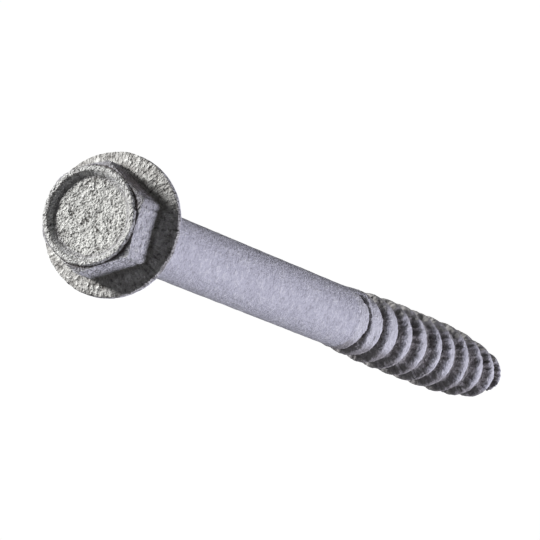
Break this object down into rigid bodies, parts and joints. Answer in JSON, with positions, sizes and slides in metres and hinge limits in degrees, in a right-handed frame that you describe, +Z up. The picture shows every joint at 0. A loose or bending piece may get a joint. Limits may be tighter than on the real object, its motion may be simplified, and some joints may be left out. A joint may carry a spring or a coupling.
{
  "type": "connecting screw",
  "caption": "Hex-flange connecting screw with a long plain shank, a coarse right-hand thread and a blunt tapered tip, in rough grey zinc-coated steel.",
  "frame": {"origin": "on the surface the screw lies on, under the middle of its bounding box", "axes": "+X along the screw from the head to the tip, +Z up; the screw's own axis falls 2.35 degrees toward the tip because the flange is wider than the thread"},
  "size_m": [0.1564, 0.0214, 0.0216],
  "materials": {
    "zinc_coated_steel": "rough matt grey zinc coating"
  },
  "bodies": {
    "root": {"connecting_screw": "zinc_coated_steel"}
  },
  "joints": []
}
